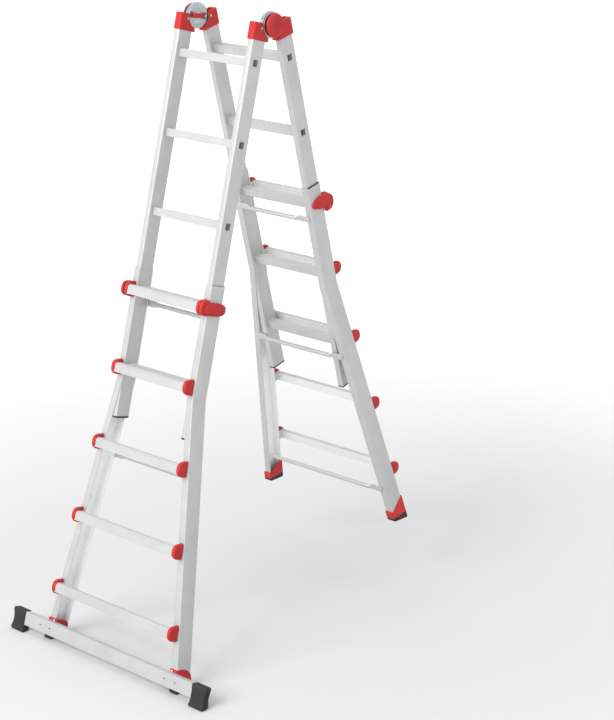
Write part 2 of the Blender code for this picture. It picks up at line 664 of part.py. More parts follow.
def make_lower_section(prefix, upper, steps, lean, foot_heights, sole):
    lever_v = HINGE_TO_RUNG + steps * RUNG_PITCH
    frame = Frame(f"{prefix}_lower_frame", upper, section_point(0.0, STILE_OFFSET, lever_v))
    for rung in range(RUNGS):
        make_outer_rung(prefix, rung, frame, lever_v)
    for number, rung in enumerate(BRACE_RUNGS, start=1):
        make_brace(prefix, number, rung, frame, lever_v)
    for side in SIDE_NAMES:
        make_outer_stile(prefix, side, frame, lever_v)
        make_lever(prefix, side, frame, lever_v)
        make_foot(prefix, side, frame, lever_v, lean, foot_heights, sole)
    return frame


def world_box():
    """Lowest and highest corners of all the pieces, as modelled so far."""
    bpy.context.view_layer.update()
    graph = bpy.context.evaluated_depsgraph_get()
    points = []
    for item in PARTS.objects:
        if item.type == "MESH":
            shape = item.evaluated_get(graph)
            points += [item.matrix_world @ vert.co for vert in shape.data.vertices]
    low = [min(point[axis] for point in points) for axis in range(3)]
    high = [max(point[axis] for point in points) for axis in range(3)]
    return low, high


clear_scene()
PARTS = new_collection(OBJECT_NAME)
CUTTERS = new_collection("cutters")

# The standing frame carries everything; its origin is moved to the middle of the footprint at the end.
standing = Frame("standing_frame")
front = Frame("front_upper_frame", standing)
front.empty.rotation_euler = (-FRONT_LEAN, 0.0, 0.0)
rear = Frame("rear_upper_frame", standing)
rear.empty.rotation_euler = (-REAR_LEAN, 0.0, math.pi)

make_upper_section("front", front, True)
make_upper_section("rear", rear, False)
front_lower = make_lower_section("front", front, FRONT_STEPS, FRONT_LEAN,
                                 FRONT_FOOT_HEIGHTS, FRONT_SOLE_THICKNESS)
make_lower_section("rear", rear, REAR_STEPS, REAR_LEAN,
                   REAR_FOOT_HEIGHTS, REAR_SOLE_THICKNESS)

front_stile_end = HINGE_TO_RUNG + FRONT_STEPS * RUNG_PITCH + STILE_END_BELOW_LEVER_RUNG
front_foot_v = front_stile_end + FRONT_SOLE_THICKNESS
make_bar(front_lower, front_foot_v)
for bar_side in SIDE_NAMES:
    make_bar_cap(bar_side, front_lower, front_foot_v)

lowest, highest = world_box()
standing.empty.location = (0.0, -(lowest[1] + highest[1]) / 2, -lowest[2])
bpy.context.view_layer.update()
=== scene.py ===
"""Looks of the telescopic multi position ladder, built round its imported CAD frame.

Every section of the ladder is built in its own frame, whose origin is on the hinge axis: x along the
rungs, w outwards from the plane through the hinge axis, and v down the stiles. Lengths are in metres.
"""
import json
import math

import bmesh
import bpy
from mathutils import Matrix, Vector


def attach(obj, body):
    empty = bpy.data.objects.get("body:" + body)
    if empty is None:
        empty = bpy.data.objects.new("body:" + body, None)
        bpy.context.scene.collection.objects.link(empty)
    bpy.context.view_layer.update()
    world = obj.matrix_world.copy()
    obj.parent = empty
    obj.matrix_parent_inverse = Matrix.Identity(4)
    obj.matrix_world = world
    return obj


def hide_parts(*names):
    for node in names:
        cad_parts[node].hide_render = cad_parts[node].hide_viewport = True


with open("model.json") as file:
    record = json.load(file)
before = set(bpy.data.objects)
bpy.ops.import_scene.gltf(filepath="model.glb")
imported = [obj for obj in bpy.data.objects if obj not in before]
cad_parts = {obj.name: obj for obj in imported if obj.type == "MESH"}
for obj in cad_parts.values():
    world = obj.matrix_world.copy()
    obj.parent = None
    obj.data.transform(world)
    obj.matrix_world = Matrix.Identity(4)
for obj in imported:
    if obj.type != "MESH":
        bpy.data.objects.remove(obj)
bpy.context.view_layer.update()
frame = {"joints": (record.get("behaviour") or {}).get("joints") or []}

SIDES = {-1: "left", 1: "right"}
STEPS = {"front": 3, "rear": 2}          # rungs by which each side is drawn out
LEAN = {"front": math.radians(14.88), "rear": math.radians(14.30)}

# The CAD model's own dimensions. The half widths of the stiles and the bar are from the ladder's middle,
# FIRST_RUNG and the inner stile's top and end from the hinge axis, and TOP_ABOVE, BEND_BELOW and
# STILE_END_BELOW from the top lower rung. The spans in w are from the stiles' middle.
PITCH = 0.280
RUNGS = 5
FIRST_RUNG = 0.1377
OFFSET = 0.0539                            # w of the stiles' middle
INNER_HALF = 0.1868
INNER_WIDTH = 0.0245
INNER_DEPTH = 0.0624
INNER_TOP = 0.0060
INNER_END = 1.4390
OUTER_HALF = 0.1901
OUTER_WIDTH = 0.0290
OUTER_DEPTH = 0.0681
TOP_ABOVE = 0.0750
BEND_BELOW = 0.3256
FLARE = math.radians(8.46)
STILE_END_BELOW = 1.3000
SOLE = {"front": 0.0200, "rear": 0.0140}   # sole thickness under the stile's end
RUNG_W = 0.0610                            # the lower rungs' middle, out of the stiles' middle
RUNG_DROP = 0.0025
RUNG_HALF_DEPTH = 0.0110
RUNG_HALF_HEIGHT = 0.0170
RUNG_BACK = OFFSET + RUNG_W - RUNG_HALF_DEPTH
DISC_RADIUS = 0.0456
DISC_CLEAR = 0.0485
DISC_LAYERS = ((0.1670, 0.1710), (0.1716, 0.1766), (0.1772, 0.1812))
COVER_RADIUS = 0.0425
SHOE_WALL = 0.0028
SHOE_TOP = 0.0005
SHOE_BOTTOM = 0.0605
BRACE_RUNGS = (0, 2, 4)
BRACE_DROP = 0.0470
BAR_HALF = 0.4700
BAR_SPAN_W = (0.0376, 0.0602)
BAR_HEIGHT = 0.0500
BAR_ABOVE_FOOT = 0.0640
CAP_SPAN_X = (0.4285, 0.4950)
CAP_SPAN_W = (0.0352, 0.0626)

# Details that only the looks carry.
SHARP_ANGLE = math.radians(35)
INNER_WALL = 0.0020
TUBE = 0.0280                              # the upper rungs' square tube
TUBE_BORE = 0.0236
CHANNEL_WEB = 0.0018
CHANNEL_FLANGE = 0.0022
CHANNEL_RIB_MIDDLES = (0.0225, 0.0075, -0.0075, -0.0225)
CHANNEL_RIB_RISE = 0.0008
PIN_HOLE_RADIUS = 0.0095
FOOT_WALL = 0.0029
BAR_RIVETS_X = (0.2958, 0.3466)
BAR_RIVET_DROP = 0.0245
# How far a lower stile's black guide lip stands proud of the stile, rises over its top and reaches down.
GUIDE_LIP = {"front": (-0.0006, 0.0012, 0.0040), "rear": (0.0003, 0.0017, 0.0028)}


# Materials.

def links_of(material):
    material.use_nodes = True
    tree = material.node_tree
    return tree.nodes, tree.links, tree.nodes["Principled BSDF"]


def add(nodes, kind, **inputs):
    node = nodes.new(kind)
    for name, value in inputs.items():
        node.inputs[name.replace("_", " ")].default_value = value
    return node


def stretched_noise(nodes, links, scale, detail, stretch, lean=0.0):
    """Noise drawn out by stretch along x, across and along the stiles, which lean by an angle about x."""
    coordinates = nodes.new("ShaderNodeTexCoord")
    mapping = nodes.new("ShaderNodeMapping")
    mapping.vector_type = "TEXTURE"
    mapping.inputs["Rotation"].default_value = (lean, 0.0, 0.0)
    mapping.inputs["Scale"].default_value = [1.0 / factor for factor in stretch]
    noise = add(nodes, "ShaderNodeTexNoise", Scale=scale, Detail=detail, Roughness=0.6)
    links.new(coordinates.outputs["Object"], mapping.inputs["Vector"])
    links.new(mapping.outputs["Vector"], noise.inputs["Vector"])
    return noise.outputs["Fac"]


def between(nodes, links, factor, low, high):
    """A value or colour running from low to high with the factor."""
    if isinstance(low, tuple):
        ramp = nodes.new("ShaderNodeValToRGB")
        ramp.color_ramp.elements[0].position = 0.3
        ramp.color_ramp.elements[1].position = 0.7
        ramp.color_ramp.elements[0].color = (*low, 1.0)
        ramp.color_ramp.elements[1].color = (*high, 1.0)
        links.new(factor, ramp.inputs["Fac"])
        return ramp.outputs["Color"]
    span = add(nodes, "ShaderNodeMapRange")
    span.inputs["From Min"].default_value = 0.25
    span.inputs["From Max"].default_value = 0.75
    span.inputs["To Min"].default_value = low
    span.inputs["To Max"].default_value = high
    links.new(factor, span.inputs["Value"])
    return span.outputs["Result"]


def bumped(nodes, links, shader, height, strength, distance):
    bump = add(nodes, "ShaderNodeBump", Strength=strength, Distance=distance)
    links.new(height, bump.inputs["Height"])
    links.new(bump.outputs["Normal"], shader.inputs["Normal"])


def aluminium(name, stretch, lean=0.0, dark=(0.455, 0.457, 0.460), light=(0.505, 0.507, 0.510),
              metallic=0.35):
    """Extruded aluminium: fine die lines along the profile and slight clouding of the anodised skin."""
    material = bpy.data.materials.new(name)
    nodes, links, shader = links_of(material)
    lines = stretched_noise(nodes, links, 90.0, 4.0, stretch, lean)
    clouds = stretched_noise(nodes, links, 9.0, 3.0, (1.0, 1.0, 1.0))
    colour = between(nodes, links, clouds, dark, light)
    links.new(colour, shader.inputs["Base Color"])
    links.new(between(nodes, links, lines, 0.34, 0.50), shader.inputs["Roughness"])
    shader.inputs["Metallic"].default_value = metallic
    bumped(nodes, links, shader, lines, 0.10, 0.0004)
    return material


def moulded(name, dark, light, roughness, grain, gloss=0.25):
    """Moulded plastic or rubber: a fine grain, slow colour drift and edges rubbed a little lighter."""
    material = bpy.data.materials.new(name)
    nodes, links, shader = links_of(material)
    drift = stretched_noise(nodes, links, 14.0, 3.0, (1.0, 1.0, 1.0))
    pits = stretched_noise(nodes, links, grain, 2.0, (1.0, 1.0, 1.0))
    colour = between(nodes, links, drift, dark, light)
    edges = nodes.new("ShaderNodeNewGeometry")
    worn = nodes.new("ShaderNodeMapRange")
    worn.inputs["From Min"].default_value = 0.52
    worn.inputs["From Max"].default_value = 0.62
    worn.inputs["To Max"].default_value = 0.35
    links.new(edges.outputs["Pointiness"], worn.inputs["Value"])
    mix = nodes.new("ShaderNodeMix")
    mix.data_type = "RGBA"
    share, plain, rubbed, mixed = mix.inputs[0], mix.inputs[6], mix.inputs[7], mix.outputs[2]
    links.new(worn.outputs["Result"], share)
    links.new(colour, plain)
    rubbed.default_value = (*[min(1.0, c * 1.6 + 0.02) for c in light], 1.0)
    links.new(mixed, shader.inputs["Base Color"])
    matt = between(nodes, links, pits, roughness - 0.06, roughness + 0.08)
    links.new(matt, shader.inputs["Roughness"])
    shader.inputs["Specular IOR Level"].default_value = gloss
    bumped(nodes, links, shader, pits, 0.12, 0.0003)
    return material


def plated(name, dark, light, roughness):
    """Zinc-plated steel: soft spangle and faint rolling lines."""
    material = bpy.data.materials.new(name)
    nodes, links, shader = links_of(material)
    coordinates = nodes.new("ShaderNodeTexCoord")
    cells = nodes.new("ShaderNodeTexVoronoi")
    cells.inputs["Scale"].default_value = 160.0
    links.new(coordinates.outputs["Object"], cells.inputs["Vector"])
    clouds = stretched_noise(nodes, links, 40.0, 4.0, (1.0, 1.0, 1.0))
    links.new(between(nodes, links, clouds, dark, light), shader.inputs["Base Color"])
    matt = between(nodes, links, cells.outputs["Distance"], roughness, roughness + 0.15)
    links.new(matt, shader.inputs["Roughness"])
    shader.inputs["Metallic"].default_value = 0.9
    bumped(nodes, links, shader, clouds, 0.08, 0.0003)
    return material


# The rungs' backs and the channels' insides lie in the shade; they get lighter, less metallic copies of the
# aluminium, which is painted light that brightens that shade.
ALONG_RUNG = (0.06, 6.0, 6.0)
ALONG_STILE = (6.0, 6.0, 0.06)
GRAIN_LEAN = {"front": -LEAN["front"], "rear": LEAN["rear"]}
PAINTED_LIGHT_METALLIC = 0.15
ALU_STILES = {prefix: aluminium(f"aluminium_along_{prefix}_stile", ALONG_STILE, lean)
              for prefix, lean in GRAIN_LEAN.items()}
# Lighter, less metallic copy for the channels' insides: painted light in their shade.
PAINTED_LIGHT_ALU_INSIDE = {prefix: aluminium(f"painted_light_aluminium_inside_{prefix}_stile", ALONG_STILE, lean,
                                (0.90, 0.905, 0.91), (0.95, 0.955, 0.96), PAINTED_LIGHT_METALLIC)
              for prefix, lean in GRAIN_LEAN.items()}
ALU_RUNG = aluminium("aluminium_along_rung", ALONG_RUNG)
# Lighter, less metallic copy for the lower rungs' backs: painted light in the shade of the inner rungs.
PAINTED_LIGHT_ALU_RUNG_BACK = aluminium("painted_light_aluminium_along_rung_back", ALONG_RUNG, 0.0,
                          (0.68, 0.685, 0.69), (0.74, 0.745, 0.75), PAINTED_LIGHT_METALLIC)
RED = moulded("red_moulded_plastic", (0.40, 0.018, 0.017), (0.46, 0.025, 0.023), 0.42, 900.0, 0.22)
BLACK = moulded("black_moulded_plastic", (0.020, 0.020, 0.022), (0.034, 0.034, 0.036), 0.45, 900.0)
RUBBER = moulded("black_rubber", (0.026, 0.026, 0.027), (0.039, 0.039, 0.040), 0.72, 500.0, 0.15)
ZINC = plated("zinc_plated_steel", (0.38, 0.41, 0.43), (0.50, 0.53, 0.55), 0.28)
RIVET = plated("bright_rivet_steel", (0.66, 0.66, 0.67), (0.78, 0.78, 0.79), 0.22)


# Outlines: lists of (a, b) points.

def rounded(points, radius, steps=3):
    """The outline with its corners rounded. radius is one number, or one for each corner."""
    made = []
    count = len(points)
    for index, point in enumerate(points):
        size = radius[index] if isinstance(radius, (list, tuple)) else radius
        here = Vector(point)
        before = Vector(points[index - 1]) - here
        after = Vector(points[(index + 1) % count]) - here
        turn = before.angle(after)
        if size <= 0.0 or turn > math.pi - 0.02:
            made.append(here)
            continue
        reach = min(size / math.tan(turn / 2), 0.48 * before.length, 0.48 * after.length)
        halfway = (before.normalized() + after.normalized()).normalized()
        middle = here + halfway * (reach / math.cos(turn / 2))
        first = here + before.normalized() * reach - middle
        last = here + after.normalized() * reach - middle
        swing = math.atan2(first.x * last.y - first.y * last.x, first.dot(last))
        for step in range(steps + 1):
            made.append(middle + Matrix.Rotation(swing * step / steps, 2) @ first)
    return made


def rectangle(width, depth, centre=(0.0, 0.0)):
    a, b = centre
    return [(a - width / 2, b - depth / 2), (a + width / 2, b - depth / 2),
            (a + width / 2, b + depth / 2), (a - width / 2, b + depth / 2)]


def grooved(points, edges, width=0.0016, depth=0.0006):
    """The outline with grooves in some edges. edges maps an edge's index to the shares along it."""
    made = []
    for index, point in enumerate(points):
        start = Vector(point)
        end = Vector(points[(index + 1) % len(points)])
        made.append(start)
        along = (end - start).normalized()
        inward = Vector((-along.y, along.x)) * depth
        for share in edges.get(index, ()):
            middle = start.lerp(end, share)
            made += [middle - along * width / 2, middle - along * width / 4 + inward,
                     middle + along * width / 4 + inward, middle + along * width / 2]
    return made


def circle(radius, centre=(0.0, 0.0), count=48):
    return [Vector((centre[0] + radius * math.cos(2 * math.pi * k / count),
                    centre[1] + radius * math.sin(2 * math.pi * k / count))) for k in range(count)]


def signed_power(value, power):
    return math.copysign(abs(value) ** power, value)


def lobe(half_length, half_height, centre, power=2.8, count=64):
    """A superellipse: an ellipse with fuller corners the higher the power."""
    points = []
    for step in range(count):
        angle = 2 * math.pi * step / count
        a = signed_power(math.cos(angle), 2 / power) * half_length
        b = signed_power(math.sin(angle), 2 / power) * half_height
        points.append(Vector(centre) + Vector((a, b)))
    return points


def edge_where(points, test):
    """The index of the outline's edge whose two ends both pass the test."""
    return next(index for index, point in enumerate(points)
                if test(point) and test(points[(index + 1) % len(points)]))


def inset(points, amount):
    """The outline moved inwards (for an anticlockwise outline) by the amount."""
    made = []
    for index, point in enumerate(points):
        before = (Vector(point) - Vector(points[index - 1])).normalized()
        after = (Vector(points[(index + 1) % len(points)]) - Vector(point)).normalized()
        along = (before + after).normalized()
        made.append(Vector(point) + Vector((-along.y, along.x)) * amount)
    return made


def area(points):
    return sum(a[0] * b[1] - b[0] * a[1] for a, b in zip(points, points[1:] + points[:1])) / 2


def anticlockwise(points):
    return list(points) if area(points) > 0 else list(reversed(points))


# Shapes: bmeshes in section coordinates.

def loft(rings, loop=False):
    """A skin through rings of points. With loop, the last ring joins the first, as in a hollow tube."""
    shape = bmesh.new()
    skin = [[shape.verts.new(point) for point in ring] for ring in rings]
    pairs = list(zip(skin, skin[1:] + skin[:1])) if loop else list(zip(skin, skin[1:]))
    for ring, following in pairs:
        for index in range(len(ring)):
            after = (index + 1) % len(ring)
            shape.faces.new((ring[index], ring[after], following[after], following[index]))
    if not loop:
        shape.faces.new(skin[0])
        shape.faces.new(skin[-1])
    bmesh.ops.recalc_face_normals(shape, faces=shape.faces)
    return shape


def side_ring(outline, x):
    """An outline of (w, v) points at x."""
    return [Vector((x, a, b)) for a, b in outline]


def down_ring(outline, v, shift=0.0):
    """An outline of (x, w) points at v."""
    return [Vector((a + shift, b, v)) for a, b in outline]


def prism(outline, low, high, side=1):
    return loft([side_ring(outline, side * low), side_ring(outline, side * high)])


def domed(outline, levels, side=1):
    """A body along x. levels are (x, inset) pairs."""
    outline = anticlockwise(outline)
    return loft([side_ring(inset(outline, amount), side * x) for x, amount in levels])


def splayed(shape, side, start):
    """Leans a shape outwards with the flared stile, from v = start down."""
    for vert in shape.verts:
        vert.co.x += side * (vert.co.z - start) * math.tan(FLARE)
    return shape


def joined(shapes):
    whole = bmesh.new()
    for shape in shapes:
        mesh = bpy.data.meshes.new("part")
        shape.to_mesh(mesh)
        shape.free()
        whole.from_mesh(mesh)
        bpy.data.meshes.remove(mesh)
    return whole


def turned(profile, centre, axis, count):
    """A body of revolution that stands on centre and points along axis. profile is (radius, rise) pairs."""
    turn = Vector((0, 0, 1)).rotation_difference(Vector(axis)).to_matrix()
    rings = []
    for radius, rise in profile:
        ring = []
        for step in range(count):
            angle = 2 * math.pi * step / count
            spot = Vector((radius * math.cos(angle), radius * math.sin(angle), rise))
            ring.append(Vector(centre) + turn @ spot)
        rings.append(ring)
    return loft(rings)


def button(centre, axis, radius, height):
    """A domed rivet or bolt head."""
    profile = [(1.0, 0.0), (1.0, 0.25), (0.93, 0.5), (0.75, 0.78), (0.45, 0.95), (0.18, 1.0)]
    return turned([(radius * share, height * rise) for share, rise in profile], centre, axis, 20)


def washer(centre, axis, radius, hole, height):
    """A rivet collar with a sunk middle."""
    profile = [(radius, 0.0), (radius, 0.6 * height), (0.93 * radius, height), (1.15 * hole, height),
               (hole, 0.8 * height), (hole, -0.2 * height)]
    return turned(profile, centre, axis, 24)


class Section:
    """One side of the ladder: its place in the row frame and the levels along it."""

    def __init__(self, prefix):
        joints = {joint["name"]: joint for joint in frame["joints"]}
        down = Vector(joints[prefix + "_slide"]["axis"]).normalized()
        out = Vector((0.0, math.copysign(-down.z, down.y), abs(down.y)))
        across = out.cross(down)
        self.matrix = Matrix.Translation(Vector(joints["hinge_fold"]["pos_m"]))
        self.matrix @= Matrix((across, out, down)).transposed().to_4x4()
        self.prefix = prefix
        self.upper = prefix + "_upper"
        self.lower = prefix + "_lower"
        self.lever_v = FIRST_RUNG + STEPS[prefix] * PITCH
        self.bend_v = self.lever_v + BEND_BELOW
        self.end_v = self.lever_v + STILE_END_BELOW
        self.foot_v = self.end_v + SOLE[prefix]

    def half_width(self, v):
        """Half width over the lower stiles at v."""
        return OUTER_HALF + max(0.0, v - self.bend_v) * math.tan(FLARE)

    def sole_v(self, w):
        """A hair above the floor or tread at a distance w out of the stiles' middle."""
        return self.foot_v + w * math.tan(LEAN[self.prefix]) - 0.0001


def place(name, shape, material, section, body, nodes=(), bevel=0.0, segments=2, cutters=()):
    """Makes a piece from a shape, cuts it, rounds its edges and hangs it on its CAD body.

    nodes are the CAD nodes that it replaces, and bevel and segments the width and steps of its edges.
    """
    mesh = bpy.data.meshes.new(name)
    shape.to_mesh(mesh)
    shape.free()
    made = bpy.data.objects.new(name, mesh)
    bpy.context.scene.collection.objects.link(made)
    for cutter in cutters:
        cut(made, cutter)
    made.data.materials.clear()
    made.data.materials.append(material)
    made.data.shade_smooth()
    made.data.set_sharp_from_angle(angle=SHARP_ANGLE)
    if bevel:
        modifier = made.modifiers.new("edges", "BEVEL")
        modifier.width = bevel
        modifier.segments = segments
        modifier.limit_method = "ANGLE"
        modifier.angle_limit = SHARP_ANGLE
        modifier.harden_normals = True
    made.data.transform(section.matrix)
    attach(made, body)
    if nodes:
        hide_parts(*nodes)
    return made


def cut(target, shape):
    mesh = bpy.data.meshes.new("cutter")
    shape.to_mesh(mesh)
    shape.free()
    tool = bpy.data.objects.new("cutter", mesh)
    bpy.context.scene.collection.objects.link(tool)
    modifier = target.modifiers.new("cut", "BOOLEAN")
    modifier.object = tool
    graph = bpy.context.evaluated_depsgraph_get()
    result = bpy.data.meshes.new_from_object(target.evaluated_get(graph))
    target.modifiers.clear()
    target.data = result
    bpy.data.objects.remove(tool, do_unlink=True)


def repaint(made, section, material, chosen):
    """Gives a piece's faces the material where chosen(centre, normal), in section coordinates, is true."""
    made.data.materials.append(material)
    to_section = section.matrix.inverted()
    turn = to_section.to_3x3()
    for polygon in made.data.polygons:
        if chosen(to_section @ polygon.center, turn @ polygon.normal):
            polygon.material_index = 1


# Upper sections.

def inner_stile(section, side):
    name = f"{section.prefix}_inner_stile_{SIDES[side]}"
    centre = (side * (INNER_HALF - INNER_WIDTH / 2), OFFSET)
    outer = rounded(rectangle(INNER_WIDTH, INNER_DEPTH, centre), 0.0032, 4)
    bore = rectangle(INNER_WIDTH - 2 * INNER_WALL, INNER_DEPTH - 2 * INNER_WALL, centre)
    inner = rounded(bore, 0.0014, 4)
    rings = [down_ring(outer, INNER_TOP), down_ring(outer, INNER_END), down_ring(inner, INNER_END),
             down_ring(inner, INNER_TOP)]
    reach = (INNER_HALF - INNER_WIDTH - 0.01, INNER_HALF + 0.01)
    holes = []
    for rung in range(RUNGS):
        middle = (OFFSET, FIRST_RUNG + rung * PITCH)
        hole = rounded(rectangle(TUBE + 0.0004, TUBE + 0.0004, middle), 0.0045, 4)
        holes.append(prism(hole, *reach, side))
    relief = prism(circle(DISC_CLEAR), *reach, side)
    place("look_" + name, loft(rings, True), ALU_STILES[section.prefix], section, section.upper, [name],
          0.0004, 2, [joined(holes), relief])


def inner_rung(section, rung):
    """A square tube, ribbed on its treads, with each end flared into a bead over the stile."""
    name = f"{section.prefix}_inner_rung_{rung + 1}"
    v = FIRST_RUNG + rung * PITCH
    square = rectangle(TUBE, TUBE, (OFFSET, v))
    ribs = (0.22, 0.36, 0.50, 0.64, 0.78)
    outer = rounded(square, 0.0042, 3)
    treads = anticlockwise(grooved(square, {0: ribs, 2: ribs}, 0.0022, 0.0007))
    inner = rounded(rectangle(TUBE_BORE, TUBE_BORE, (OFFSET, v)), 0.0028, 3)
    lip = INNER_HALF + 0.0004
    bead = rounded(rectangle(0.0318, 0.0318, (OFFSET, v)), 0.0060, 3)
    inside = INNER_HALF - INNER_WIDTH
    collar = rounded(rectangle(0.0304, 0.0304, (OFFSET, v)), 0.0050, 3)
    shapes = []
    for side in SIDES:
        shapes.append(loft([
            side_ring(outer, side * (inside - 0.0006)), side_ring(outer, side * (INNER_HALF - 0.0001)),
            side_ring(bead, side * (INNER_HALF - 0.0001)), side_ring(bead, side * (lip - 0.0002)),
            side_ring(inset(bead, 0.0006), side * lip), side_ring(inset(inner, -0.0006), side * lip),
            side_ring(inner, side * (lip - 0.0006)), side_ring(inner, side * (inside - 0.0006)),
        ], True))
        shapes.append(loft([
            side_ring(collar, side * (inside + 0.0002)), side_ring(collar, side * (inside - 0.0012)),
            side_ring(outer, side * (inside - 0.0024)),
        ]))
    middle = inside - 0.0010
    shapes.append(prism(treads, -middle, middle))
    place("look_" + name, joined(shapes), ALU_RUNG, section, section.upper, [name], 0.0003, 1)


def glide(section, side):
    """Plastic end of an upper stile, which guides it in the lower one."""
    centre = (side * (INNER_HALF - INNER_WIDTH / 2), OFFSET)
    plug = rounded(rectangle(INNER_WIDTH + 0.0016, INNER_DEPTH + 0.0004, centre), 0.0036, 4)
    rings = [down_ring(inset(plug, 0.0008), INNER_END - 0.0015), down_ring(plug, INNER_END - 0.0006),
             down_ring(plug, INNER_END + 0.0038), down_ring(inset(plug, 0.0020), INNER_END + 0.0058)]
    place(f"{section.prefix}_glide_{SIDES[side]}", loft(rings), BLACK, section, section.upper, (), 0.0005)


def shoe_outline():
    """The hinge shoe in w and v: a block with an arc cut out of it round the hinge disc."""
    front = OFFSET + INNER_DEPTH / 2 + SHOE_WALL
    outline = [Vector((0.0110, SHOE_BOTTOM))]
    start = math.radians(15)
    top = math.acos(SHOE_TOP / DISC_CLEAR)
    for step in range(17):
        angle = start + (top - start) * step / 16
        outline.append(Vector((DISC_CLEAR * math.sin(angle), DISC_CLEAR * math.cos(angle))))
    corners = [(0.06, SHOE_TOP), (front, SHOE_TOP), (front, SHOE_BOTTOM), (0.03, SHOE_BOTTOM)]
    outline += [point for point in rounded(corners, 0.0035, 4) if point.x > 0.062]
    return anticlockwise(outline)


def shoe(section, side):
    """Moulded hinge shoe over the stile's top, slotted for the hinge discs and riveted on both faces."""
    name = f"{section.prefix}_hinge_shoe_{SIDES[side]}"
    low = INNER_HALF - INNER_WIDTH - SHOE_WALL
    high = INNER_HALF + SHOE_WALL
    outline = shoe_outline()
    body = loft([side_ring(inset(outline, 0.0012), side * low), side_ring(outline, side * (low + 0.0014)),
                 side_ring(outline, side * (high - 0.0014)), side_ring(inset(outline, 0.0012), side * high)])
    slot = prism(rectangle(0.060, 0.060, (0.045, 0.012)), 0.1660, 0.1822, side)
    place("look_" + name, body, RED, section, section.upper, [name], 0.0005, 2, [slot])
    spot = (0.0535, 0.0190)
    rivets = [button((side * high, *spot), (side, 0, 0), 0.0034, 0.0014),
              button((side * low, *spot), (-side, 0, 0), 0.0034, 0.0014)]
    place(f"{section.prefix}_shoe_rivets_{SIDES[side]}", joined(rivets), RIVET, section, section.upper)


def cover(section, side):
    """Round hinge cover outside the rear shoe: a shallow cup, with its arm, a black plate behind it whose
    black paints the shade in the gap, and a washer.
    """
    ring = circle(COVER_RADIUS - 0.0010, count=64)
    levels = [(0.1950, 0.0004), (0.1956, 0.0), (0.1992, 0.0002), (0.2012, 0.0014), (0.2030, 0.0036),
              (0.2042, 0.0048), (0.2048, 0.0062), (0.2048, 0.0120), (0.2042, 0.0132), (0.2042, 0.0440)]
    back = [(0.2014, 0.0430), (0.2014, 0.0060), (0.1995, 0.0032), (0.1950, 0.0026)]
    rings = [side_ring(inset(ring, amount), side * x) for x, amount in levels + back]
    boss = button((side * 0.2036, 0.0, 0.0), (side, 0, 0), 0.0060, 0.0011)
    arm = rounded([(0.020, 0.0604), (0.020, 0.030), (0.036, 0.0006), (0.070, 0.0006), (0.0878, 0.0006),
                   (0.0878, 0.0604)], 0.0025, 3)
    bridge = domed(arm, [(INNER_HALF + 0.0020, 0.0), (0.1912, 0.0), (0.1924, 0.0010)], side)
    post = domed(circle(0.0240, count=40), [(0.1880, 0.0), (0.2030, 0.0)], side)
    place(f"{section.prefix}_hinge_cover_{SIDES[side]}", joined([loft(rings, True), boss, bridge, post]), RED,
          section, section.upper, (), 0.0003)
    # The first plate is black to paint the shade in the gap between the hinge discs and the cover; the second
    # is a zinc washer.
    for part, radius, levels, material in (
            ("spacer", 0.0405, [(0.1816, 0.0012), (0.1824, 0.0), (0.1872, 0.0), (0.1880, 0.0012)], BLACK),
            ("washer", 0.0442, [(0.1834, 0.0006), (0.1838, 0.0), (0.1860, 0.0), (0.1864, 0.0006)], ZINC)):
        plate = domed(circle(radius, count=64), levels, side)
        place(f"{section.prefix}_hinge_{part}_{SIDES[side]}", plate, material, section, section.upper, (),
              0.0002)


def disc(span, side):
    """A pressed hinge disc: rounded rim, sunk ring, raised boss and a bore round the pivot."""
    low, high = span
    ring = circle(DISC_RADIUS, count=72)
    bore = DISC_RADIUS - 0.0075
    sunk = 0.0005
    steps = [(0.0006, 0.0), (0.0, 0.0007), (0.0, 0.0080), (sunk, 0.0088), (sunk, 0.0280), (0.0, 0.0292),
             (0.0, bore)]
    levels = [(low + depth, amount) for depth, amount in steps]
    levels += [(high - depth, amount) for depth, amount in reversed(steps)]
    return loft([side_ring(inset(ring, amount), side * x) for x, amount in levels], True)


def tongue(low, high, side):
    """The part of a hinge plate that runs down into the stile."""
    outline = [(0.0330, 0.1050), (0.0330, 0.0330), (0.0430, 0.0120), (0.0780, 0.0120), (0.0780, 0.1050)]
    return prism(anticlockwise(rounded(outline, 0.003, 2)), low, high, side)


def hinge_plates(front, rear, side):
    """The hinge's steel plates: two discs on the front stile, with one on the rear stile between them."""
    inner, middle, outer = DISC_LAYERS
    name = f"front_hinge_plate_{SIDES[side]}"
    discs = [disc(inner, side), disc(outer, side), tongue(0.1672, 0.1812, side)]
    place("look_" + name, joined(discs), ZINC, front, front.upper, [name], 0.0003)
    studs = []
    for w, v in ((0.0030, -0.0300), (-0.0270, -0.0225)):
        studs.append(button((side * inner[0], w, v), (-side, 0, 0), 0.0034, 0.0014))
    place(f"hinge_studs_{SIDES[side]}", joined(studs), RIVET, front, front.upper)
    name = f"rear_hinge_plate_{SIDES[-side]}"
    discs = [disc(middle, -side), tongue(0.1692, 0.1790, -side)]
    place("look_" + name, joined(discs), ZINC, rear, rear.upper, [name], 0.0003)


def pivot(section, side):
    name = f"hinge_pivot_{SIDES[side]}"
    inner, _, outer = DISC_LAYERS
    rod = prism(circle(0.0070, count=32), inner[0] - 0.001, outer[1] + 0.001, side)
    heads = [button((side * (inner[0] - 0.0002), 0, 0), (-side, 0, 0), 0.0110, 0.0026),
             button((side * (outer[1] + 0.0002), 0, 0), (side, 0, 0), 0.0110, 0.0026)]
    place("look_" + name, joined([rod, *heads]), RIVET, section, section.upper, [name])


